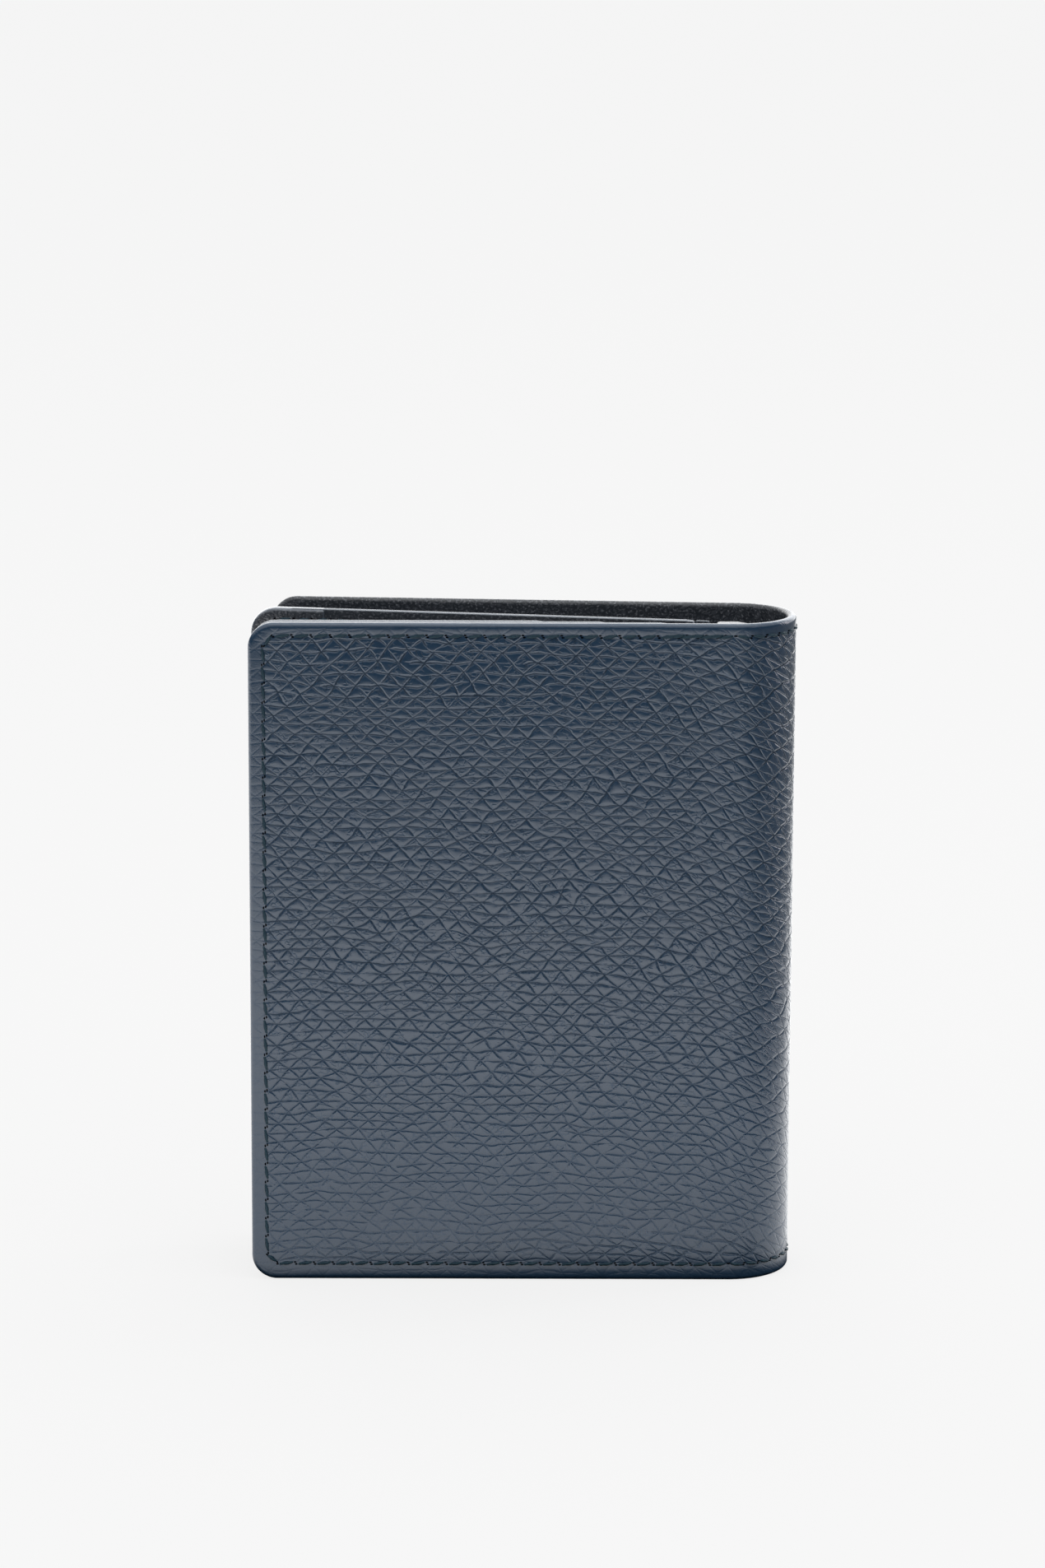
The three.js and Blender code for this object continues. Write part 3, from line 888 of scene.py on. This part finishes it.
def seam_corners(reach, spine_side):
    """The stitch line as places (w, z), from the spine's side round the cover."""
    top = HEIGHT - SEAM_TOP
    return [
        (spine_side, SEAM_BOTTOM),
        (SEAM_SIDE + SEAM_CORNER, SEAM_BOTTOM),
        (SEAM_SIDE, SEAM_BOTTOM + SEAM_CORNER),
        (SEAM_SIDE, top - SEAM_CORNER),
        (SEAM_SIDE + SEAM_CORNER, top),
        (spine_side, top),
    ]


def stitch_ends(corners):
    """Start and end of each stitch: every straight stretch has a whole number of them."""
    ends = []
    for a, b in zip(corners, corners[1:]):
        a, b = np.array(a, float), np.array(b, float)
        count = max(1, round(np.linalg.norm(b - a) / PITCH))
        for i in range(count):
            ends.append((a + (b - a) * i / count, a + (b - a) * (i + 1) / count))
    return ends


def back_stitches(stitches):
    """A second row over a few stitches near the spine, where the thread was locked."""
    top = [(a, b) for a, b in stitches if a[1] == b[1] == HEIGHT - SEAM_TOP]
    low, high = LOCKED
    return [(a + LOCKED_SHIFT, b + LOCKED_SHIFT) for a, b in top if low < a[0] < high]


class Shapes:
    """Gathers many small shapes into one mesh."""

    def __init__(self):
        self.points, self.flats, self.faces, self.marks = [], [], [], []
        self.count = 0

    def add(self, points, flats, faces, mark):
        """faces holds point numbers that start at 0 in this shape."""
        self.points.append(points.reshape(-1, 3))
        self.flats.append(flats.reshape(-1, 3))
        self.faces += [[i + self.count for i in face] for face in faces]
        self.marks += [mark] * len(faces)
        self.count += len(self.points[-1])


def thread_flat(at, height):
    """Where the thread's fibres are read."""
    return np.stack([at[..., 0] * THREAD_PATTERN, at[..., 1] * THREAD_PATTERN, height], -1)


def stitch_tube(start, run_way, side, slant, place, lift):
    """One stitch: a twisted thread that rises out of a hole and sinks into the next."""
    t, angle = STITCH_T, STITCH_ANGLE
    run = STITCH_START + t * STITCH_RUN
    arch = np.sin(math.pi * t) ** 0.55
    taper = 0.5 + 0.5 * np.sin(math.pi * run) ** 0.4
    plies = 1 + THREAD_GROOVE * np.cos(THREAD_PLIES * angle + t * THREAD_TWIST)
    radius = STITCH_RADIUS * taper * plies
    sideways = (t - 0.5) * 2 * slant + np.cos(angle) * radius
    height = STITCH_ARCH * arch - STITCH_SUNK + np.sin(angle) * radius * STITCH_FLATNESS + lift
    at = start + run_way * run[..., None] + side * sideways[..., None]
    return place(at[..., 0], PINCH - height, at[..., 1]), thread_flat(at, height)


def hole_cone(middle, way, side, place):
    """A needle hole: a narrow cone painted dark as the shade inside a hole, whose rim stands just
    proud of the leather.
    """
    lengthwise = way * (HOLE_HALF_LENGTH * np.cos(HOLE_RING))[:, None]
    at = middle + lengthwise + side * (HOLE_HALF_WIDTH * np.sin(HOLE_RING))[:, None]
    at = np.concatenate([at, middle[None, :]])
    depth = np.append(0 * HOLE_RING + PINCH - HOLE_PROUD, PINCH + HOLE_DEPTH)
    return place(at[:, 0], depth, at[:, 1]), thread_flat(at, 0 * at[:, 0])


def make_stitches(name, stitches, place, lift, turn=1):
    """Twisted stitches between needle holes. place(w, depth, z) sets them on the leather."""
    tube = tube_faces(numbered(STITCH_T.shape))
    cone = [[i, (i + 1) % HOLE_SIDES, HOLE_SIDES] for i in range(HOLE_SIDES)]
    cone.append(list(range(HOLE_SIDES))[::-1])
    shapes = Shapes()
    for number, (start, end) in enumerate(stitches):
        way = (end - start) / np.linalg.norm(end - start)
        side = np.array([-way[1], way[0]]) * turn
        slant = STITCH_SLANT + STITCH_UNEVEN * noise.noise(Vector((number * 0.73, 4.1, 0.0)))
        shapes.add(*stitch_tube(start, end - start, side, slant, place, lift), tube, 0)
        shapes.add(*hole_cone(start + way * HOLE_INSET - side * slant, way, side, place), cone, 1)
        shapes.add(*hole_cone(end - way * HOLE_INSET + side * slant, way, side, place), cone, 1)
    points, flats = np.concatenate(shapes.points), np.concatenate(shapes.flats)
    return make_mesh(name, points, shapes.faces, flats, THREAD, second=HOLE_SHADOW, marks=shapes.marks)


# ---- inner plies --------------------------------------------------------------------------------

PLY_EDGE = 0.22          # radius of a ply's edges
MOUTH_FOLD = 2.6         # from a pocket's mouth to the line pressed along it
MOUTH_GROOVE = 0.1
MOUTH_WIDTH = 0.18
MOUTH_LINES = np.linspace(-0.45, 0.45, 7)
MOUTH_CLEAR = 0.5
UNDERSIDE_PLACE = (37.0, 19.0, 0.0)
POCKETS = (1, 2, 3)
COVER_PLY_CORNER = CORNER - 0.6
SMALL_CORNER = 0.8
TAB_DROP = 0.5
TAB_ROUND = 0.35


def near_edge(s, z, s_ends, z_ends):
    return np.minimum.reduce([s - s_ends[0], s_ends[1] - s, z - z_ends[0], z_ends[1] - z])


def ply_corners(s, z, s_ends, z_ends, radii):
    """Places on a square ply, moved so that its corners become round."""
    for s_end, s_in, radius in ((s_ends[0], 1, radii[0]), (s_ends[1], -1, radii[1])):
        for z_end, z_in in ((z_ends[0], 1), (z_ends[1], -1)):
            a, b = round_corner((s - s_end) * s_in, (z - z_end) * z_in, radius)
            s, z = s_end + a * s_in, z_end + b * z_in
    return s, z


def slab(name, node, stack, material=None, radii=(0.6, 0.6), step=1.3, edge=None, grow=(0, 0),
         reach=0.0, mouth=None):
    """A ply in a CAD node's place, with round edges.

    radii are its corners' at low and high s. It grows by grow outwards and inwards, and by reach
    at high s. mouth says at which end of s a pocket is open and has a line pressed along it.
    """
    (s0, s1), (d0, d1), z_ends = stack.range_of(node)
    d0, d1, s1 = d0 - grow[0], d1 + grow[1], s1 + reach
    thickness = d1 - d0
    edge = edge or min(thickness / 2, PLY_EDGE)
    s_lines = both_edges(s0, s1, edge, step)
    fold_at = {None: math.inf, "low": s0 + MOUTH_FOLD, "high": s1 - MOUTH_FOLD}[mouth]
    if mouth:
        clear = s_lines[np.abs(s_lines - fold_at) > MOUTH_CLEAR]
        s_lines = np.sort(np.concatenate([clear, fold_at + MOUTH_LINES]))
    s, z = np.meshgrid(s_lines, both_edges(*z_ends, edge, step), indexing="ij")
    near = near_edge(s, z, (s0, s1), z_ends)
    groove = MOUTH_GROOVE * np.exp(-((s - fold_at) / MOUTH_WIDTH) ** 2) * smoothstep(near, 0.3, 1.0)
    s, z = ply_corners(s, z, (s0, s1), z_ends, radii)
    drop = rim_drop(near, edge, thickness / 2)
    outer = stack.place(s, d0 + drop, z)
    inner = stack.place(s, d1 - drop - groove, z)

    # Both sides share the points round the ply's edge.
    def both_sides(a, b):
        return joined(a, b[1:-1, 1:-1])

    rows, columns = s.shape
    index = numbered(s.shape)
    under = index.copy()
    under[1:-1, 1:-1] = numbered((rows - 2, columns - 2), index.size)
    faces = grid_faces(index) + grid_faces(under[:, ::-1])
    flat = np.stack([s, z, 0 * s], -1)
    # Marks the cut edges, which are smoother and lighter; the lighter colour is a painted highlight.
    burnish_and_highlight = 1 - smoothstep(near, 0.0, edge * 1.2)
    extra = {"burnish_and_highlight": both_sides(burnish_and_highlight, burnish_and_highlight)}
    flats = both_sides(flat, flat + UNDERSIDE_PLACE)
    obj = make_mesh(name, both_sides(outer, inner), faces, flats, material or SMOOTH, extra)
    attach(obj, stack.body)
    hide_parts(node)


def hinge_tab():
    """The block of leather that holds the leaf's strip, a little lower than in CAD."""
    mesh = frame["nodes"]["leaf_hinge_tab"].data.copy()
    mesh.name = "hinge_tab"
    obj = bpy.data.objects.new("hinge_tab", mesh)
    bpy.context.scene.collection.objects.link(obj)
    work = bmesh.new()
    work.from_mesh(mesh)
    bmesh.ops.remove_doubles(work, verts=work.verts, dist=1e-6)
    flat = math.radians(2)
    bmesh.ops.dissolve_limit(work, angle_limit=flat, verts=work.verts, edges=work.edges)
    top = [v for v in work.verts if v.co.z > HEIGHT / 2 * MM]
    bmesh.ops.translate(work, verts=top, vec=(0, 0, -TAB_DROP * MM))
    round_edges = {"offset": TAB_ROUND * MM, "segments": 3, "affect": "EDGES", "profile": 0.5}
    bmesh.ops.bevel(work, geom=work.edges, **round_edges)
    work.to_mesh(mesh)
    work.free()
    places = np.array([v.co for v in mesh.vertices], np.float32) / MM
    mesh.attributes.new("leather", "FLOAT_VECTOR", "POINT").data.foreach_set("vector", places.ravel())
    mesh.materials.clear()
    mesh.materials.append(SMOOTH)
    mesh.shade_smooth()
    mesh.set_sharp_from_angle(angle=SHARP_ANGLE)
    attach(obj, "front_cover")
    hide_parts("leaf_hinge_tab")


# ---- the object ---------------------------------------------------------------------------------

def make_outer_leather():
    cover_leather(FRONT_COVER)
    cover_leather(BACK_COVER)
    # The spine's four quarters stand for three CAD strips.
    strip_of = {0: "spine_rear", 1: "spine_middle", 3: "spine_front"}
    for part in range(FOLD_COUNT):
        leather, lining = spine_leather(part), spine_lining(part)
        if part in strip_of:
            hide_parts(f"{strip_of[part]}_leather")
            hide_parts(f"{strip_of[part]}_lining")


def make_seams():
    for cover in (FRONT_COVER, BACK_COVER):
        stitches = stitch_ends(seam_corners(cover.reach, cover.reach))
        if cover is FRONT_COVER:
            stitches += back_stitches(stitches)
        obj = make_stitches(f"{cover.side}_stitches", stitches, cover.place, 0.0, -cover.way)
        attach(obj, f"{cover.side}_cover")
        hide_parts(f"{cover.side}_seam_thread")
    for part in range(FOLD_COUNT):
        u = np.linspace(*spine_ends(part), SPINE_STITCHES + 1)
        stitches = []
        for z in (SEAM_BOTTOM, HEIGHT - SEAM_TOP):
            stitches += [(np.array([a, z]), np.array([b, z])) for a, b in zip(u, u[1:])]
        obj = make_stitches(f"spine_stitches_{part + 1}", stitches, bent, 0.0)
        bend_piece(obj, part)


FRONT_PLIES = ["front_inner_panel", *(f"front_card_pocket_{i}" for i in POCKETS)]
BACK_PLIES = ["bill_panel", *(f"back_card_pocket_{i}" for i in POCKETS)]
LEAF_PLIES = ["leaf_front_panel", "leaf_rear_panel", "leaf_end_binding"]
LEAF_END = 75.6          # s at the leaf's free edge, past the CAD's by what the plies reach
LEAF_BINDING_S = 70.0    # the seam lies as high as the binding from here on
SEAM_ABOVE_PLY = {1: 0.11, -1: 0.10}
BILL_SEAM_TOP = 6.0


def stack_top(stack, plies, s, inner):
    """Height of the uppermost ply's face at each s, inwards (inner is 1) or outwards (-1)."""
    height = 0 * s
    for node in plies:
        (s0, s1), depths, _ = stack.range_of(node)
        face = depths[1] if inner == 1 else -depths[0]
        face = face + SEAM_ABOVE_PLY[inner]
        height = np.where((s > s0) & (s < s1), np.maximum(height, face), height)
    return height


def on_plies(stack, plies, free_s, way, inner=1, last_s=math.inf):
    """Places on a stack of plies, where w is the distance from its free edge at free_s."""
    def place(w, depth, z):
        s = free_s + way * w
        top = stack_top(stack, plies, np.minimum(s, last_s), inner)
        return stack.place(s, (top - depth) * inner, z)
    return place


def make_inner_seams():
    """The same seams where they come through the plies, and the leaf's own seams."""
    front = on_plies(FRONT, FRONT_PLIES, FRONT_REACH, -1)
    back = on_plies(BACK, BACK_PLIES, -BACK_REACH, 1)
    leaf_front = on_plies(LEAF, LEAF_PLIES, LEAF_END, -1, -1, LEAF_BINDING_S)
    leaf_rear = on_plies(LEAF, LEAF_PLIES, LEAF_END, -1, 1, LEAF_BINDING_S)
    front_line = seam_corners(0, FRONT_REACH - 3.4)
    back_line = seam_corners(0, BACK_REACH - 1.0)[:3] + [(SEAM_SIDE, HEIGHT - BILL_SEAM_TOP)]
    leaf_line = seam_corners(0, LEAF_END - 4.0)
    for name, line, place, lift, turn, body in (
        ("front_inner_stitches", front_line, front, INNER_LIFT, -1, "front_cover"),
        ("back_inner_stitches", back_line, back, INNER_LIFT, 1, "back_cover"),
        ("leaf_front_stitches", leaf_line, leaf_front, INNER_LIFT, 1, "leaf"),
        ("leaf_rear_stitches", leaf_line, leaf_rear, NARROW_LIFT, -1, "leaf"),
    ):
        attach(make_stitches(name, stitch_ends(line), place, lift, turn), body)


def make_plies():
    corner = (SMALL_CORNER, COVER_PLY_CORNER)
    pocket = {"grow": (0.02, 0.06)}
    slab("front_panel_ply", "front_inner_panel", FRONT, radii=corner, grow=(0.1, 0.06))
    for i in POCKETS:
        names = f"front_pocket_ply_{i}", f"front_card_pocket_{i}"
        slab(*names, FRONT, radii=corner, mouth="low", **pocket)
    corner = (COVER_PLY_CORNER, SMALL_CORNER)
    slab("bill_panel_ply", "bill_panel", BACK, radii=corner, grow=(0, 0.06))
    slab("bill_lining_ply", "back_lining", BACK, CLOTH, radii=corner)
    for i in POCKETS:
        names = f"back_pocket_ply_{i}", f"back_card_pocket_{i}"
        slab(*names, BACK, radii=corner, mouth="high", **pocket)
    panel = {"radii": (0.6, 4), "grow": (0.05, 0.05), "reach": 2.0}
    slab("leaf_front_ply", "leaf_front_panel", LEAF, **panel)
    slab("leaf_rear_ply", "leaf_rear_panel", LEAF, **panel)
    binding = {"radii": (0.6, 4.4), "edge": 0.6, "step": 0.9, "reach": 2.3}
    slab("leaf_binding_ply", "leaf_end_binding", LEAF, **binding)
    slab("leaf_strip_ply", "leaf_hinge_strip", LEAF, radii=(0.3, 0.3), step=0.8)
    hinge_tab()
    for name in ("front_board", "back_board"):
        mesh = frame["nodes"][name].data
        mesh.materials.clear()
        mesh.materials.append(BOARD)


make_outer_leather()
make_seams()
make_inner_seams()
make_plies()


# ---- camera, floor and light --------------------------------------------------------------------
# Lengths here are in metres.

CAMERA_AZIMUTH = math.radians(3.9)
CAMERA_PITCH = math.radians(12.3)
CAMERA_ROLL = math.radians(0.2)
CAMERA_DISTANCE = 0.844
AIM_FROM_EDGE = 44.3     # in mm on the front cover
AIM_HEIGHT = 83.7
LENS = 120.0
SENSOR = 36
WHITE = 0.922            # the background's grey
FLOOR_SIZE = 12
FLOOR_WHITE = WHITE - 0.01
FLOOR_SEEN = 0.88        # the rest of the seen floor is matt and takes the contact shadow
TABLE_REACH = 0.43       # how far the lit table comes forward, and over what length it fades
TABLE_FADE = 0.22
TABLE_DARK = 0.01
CONTACT = 0.008          # width of the dark line under the object
NEAR_SHADE = (0.0, 0.18, 0.7, 1.0)
RIGHT_SHADE = (0.08, 0.28, 1.0, 0.12)
TABLE_LIGHT = 0.65       # the table's light on the object, and what its reflection adds
TABLE_GLOSS = 2.1
CEILING = (0.25, 0.5)
CEILING_LIGHT = 1.2
BEHIND = (0.4, 0.85)
BEHIND_LIGHT = 0.6
BEHIND_GLOSS = 2.4
FRONT_LIGHT = 0.02
PLAIN_WHITE = (1, 1, 1, 1)
LIGHTS_AIM = Vector((0, 0, 0.06))


def make_camera():
    data = bpy.data.cameras.new("camera")
    data.lens = LENS
    data.sensor_width = SENSOR
    data.clip_start, data.clip_end = 0.01, 20
    camera = bpy.data.objects.new("camera", data)
    bpy.context.scene.collection.objects.link(camera)
    aim = Vector(FRONT_COVER.place(AIM_FROM_EDGE, 0.0, AIM_HEIGHT) * MM)
    flat = math.cos(CAMERA_PITCH)
    x, y = math.sin(CAMERA_AZIMUTH) * flat, -math.cos(CAMERA_AZIMUTH) * flat
    back = Vector((x, y, math.sin(CAMERA_PITCH)))
    look = (-back).to_track_quat("-Z", "Y").to_matrix().to_4x4()
    turn = look @ Matrix.Rotation(CAMERA_ROLL, 4, "Z")
    camera.matrix_world = Matrix.Translation(aim + back * CAMERA_DISTANCE) @ turn
    bpy.context.scene.camera = camera


def table_light(graph, glossy):
    """Brightness of the table for the object: it ends in front, and is dark under the object."""
    place = graph.add("ShaderNodeNewGeometry").outputs["Position"]
    x, y = graph.split(place)[:2]
    half = TABLE_FADE / 2
    reach = graph.ramp(y, -TABLE_REACH - half, -TABLE_REACH + half, TABLE_DARK, 1.0)
    beside = graph.vector("ABSOLUTE", graph.vector("MULTIPLY", place, (1.0, 1.0, 0.0)))
    beyond = graph.vector("SUBTRACT", beside, tuple(cad_high))
    beyond = graph.vector("MAXIMUM", beyond, (0.0, 0.0, 0.0))
    gap = graph.add("ShaderNodeVectorMath", {0: beyond}, operation="LENGTH").outputs["Value"]
    under = graph.ramp(gap, 0.0, CONTACT)
    near = graph.ramp(gap, *NEAR_SHADE)
    right = graph.ramp(x, *RIGHT_SHADE)
    return graph.product(reach, under, near, right, graph.line(glossy, TABLE_GLOSS, TABLE_LIGHT))


def make_floor():
    """A pale table. It is seen as plain white, and it shines on the object like a lit table top."""
    grid = {"x_subdivisions": 2, "y_subdivisions": 2, "size": FLOOR_SIZE}
    bpy.ops.mesh.primitive_grid_add(location=(0, 0, 0), **grid)
    floor = bpy.context.object
    floor.name = "floor"
    material, graph, shader = new_material("floor")
    path = graph.add("ShaderNodeLightPath").outputs
    lit = table_light(graph, path["Is Glossy Ray"])
    glow = graph.add("ShaderNodeEmission", {"Color": PLAIN_WHITE, "Strength": lit})
    matt = graph.add("ShaderNodeBsdfDiffuse", {"Color": (0.8, 0.8, 0.8, 1)})
    seen = graph.add("ShaderNodeEmission", {"Color": PLAIN_WHITE, "Strength": FLOOR_WHITE})
    inputs = {0: FLOOR_SEEN, 1: matt.outputs[0], 2: seen.outputs[0]}
    seen = graph.add("ShaderNodeMixShader", inputs)
    inputs = {0: path["Is Camera Ray"], 1: glow.outputs[0], 2: seen.outputs[0]}
    mix = graph.add("ShaderNodeMixShader", inputs)
    output = next(n for n in graph.tree.nodes if n.type == "OUTPUT_MATERIAL")
    graph.tree.links.new(mix.outputs[0], output.inputs["Surface"])
    graph.tree.nodes.remove(shader)
    floor.data.materials.append(material)


def make_world():
    """White all round for the camera. For the object: a bright ceiling and back, a dark front."""
    world = bpy.data.worlds.new("studio")
    bpy.context.scene.world = world
    world.use_nodes = True
    graph = Graph(world.node_tree)
    world.node_tree.nodes.clear()
    way = graph.split(graph.add("ShaderNodeTexCoord").outputs["Generated"])
    path = graph.add("ShaderNodeLightPath").outputs
    ceiling = graph.ramp(way[2], *CEILING)
    by_ray = graph.line(path["Is Glossy Ray"], BEHIND_GLOSS, BEHIND_LIGHT)
    behind = graph.math("MULTIPLY", graph.ramp(way[1], *BEHIND), by_ray)
    glow = graph.line(ceiling, CEILING_LIGHT, graph.math("ADD", behind, FRONT_LIGHT))
    seen = graph.add("ShaderNodeBackground", {"Color": PLAIN_WHITE, "Strength": WHITE})
    studio = graph.add("ShaderNodeBackground", {"Color": PLAIN_WHITE, "Strength": glow})
    inputs = {0: path["Is Camera Ray"], 1: studio.outputs[0], 2: seen.outputs[0]}
    mix = graph.add("ShaderNodeMixShader", inputs)
    graph.add("ShaderNodeOutputWorld", {"Surface": mix.outputs[0]})


def make_light(name, place, size, power, colour=(1, 1, 1)):
    data = bpy.data.lights.new(name, "AREA")
    data.shape = "RECTANGLE"
    data.size, data.size_y = size
    data.energy = power
    data.color = colour
    light = bpy.data.objects.new(name, data)
    bpy.context.scene.collection.objects.link(light)
    light.location = place
    light.rotation_euler = (LIGHTS_AIM - Vector(place)).to_track_quat("-Z", "Y").to_euler()


make_camera()
make_floor()
make_world()
make_light("overhead", (0.05, -0.1, 1.1), (0.9, 0.7), 3.0)
make_light("right", (1.0, 0.5, 0.4), (0.2, 0.6), 2.2, (1.0, 0.93, 0.95))
bpy.context.scene.view_settings.view_transform = "Standard"
